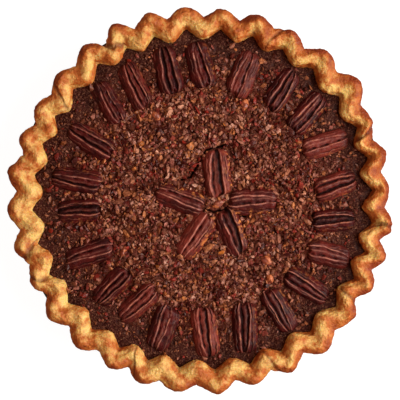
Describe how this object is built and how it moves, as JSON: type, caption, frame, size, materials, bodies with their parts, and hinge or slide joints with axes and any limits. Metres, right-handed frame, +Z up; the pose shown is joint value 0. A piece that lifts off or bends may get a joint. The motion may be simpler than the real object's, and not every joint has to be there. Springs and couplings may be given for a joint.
{
  "type": "pecan pie",
  "caption": "Whole baked pecan pie in its pie tin: fluted pastry crust, dark nut filling, and pecan halves laid in a ring round a star.",
  "frame": {"origin": "middle of the tin's flat underside", "axes": "+Z up through the middle of the pie; +X and +Y level; seen from above with +Y away, one star pecan points nearly along +Y and another nearly along +X"},
  "size_m": [0.2489, 0.2501, 0.0415],
  "materials": {
    "dark_tin": "dark hard-anodised pressed sheet, satin, faintly brushed",
    "baked_pastry": "baked shortcrust, golden with browned patches, matt with a slight egg-wash sheen",
    "set_filling": "set dark syrup custard full of glazed chopped nuts, low gloss",
    "roasted_pecan": "roasted and glazed pecan skin, mahogany, satin sheen",
    "broken_pecan": "broken glazed nut, tan where the skin is off"
  },
  "bodies": {
    "root": {"pie_tin": "dark_tin", "pastry_crust": "baked_pastry", "nut_filling": "set_filling", "pecan_half_01": "roasted_pecan", "pecan_half_02": "roasted_pecan", "pecan_half_03": "roasted_pecan", "pecan_half_04": "roasted_pecan", "pecan_half_05": "roasted_pecan", "pecan_half_06": "roasted_pecan", "pecan_half_07": "roasted_pecan", "pecan_half_08": "roasted_pecan", "pecan_half_09": "roasted_pecan", "pecan_half_10": "roasted_pecan", "pecan_half_11": "roasted_pecan", "pecan_half_12": "roasted_pecan", "pecan_half_13": "roasted_pecan", "pecan_half_14": "roasted_pecan", "pecan_half_15": "roasted_pecan", "pecan_half_16": "roasted_pecan", "pecan_half_17": "roasted_pecan", "pecan_half_18": "roasted_pecan", "pecan_half_19": "roasted_pecan", "pecan_half_20": "roasted_pecan", "pecan_half_21": "roasted_pecan", "pecan_half_22": "roasted_pecan", "pecan_half_23": "roasted_pecan", "pecan_half_24": "roasted_pecan", "pecan_half_25": "roasted_pecan", "pecan_half_26": "roasted_pecan", "pecan_half_27": "roasted_pecan", "pecan_piece_01": "broken_pecan", "pecan_piece_02": "broken_pecan", "pecan_piece_03": "broken_pecan", "pecan_piece_04": "broken_pecan", "pecan_piece_05": "broken_pecan", "pecan_piece_06": "broken_pecan"}
  },
  "joints": []
}
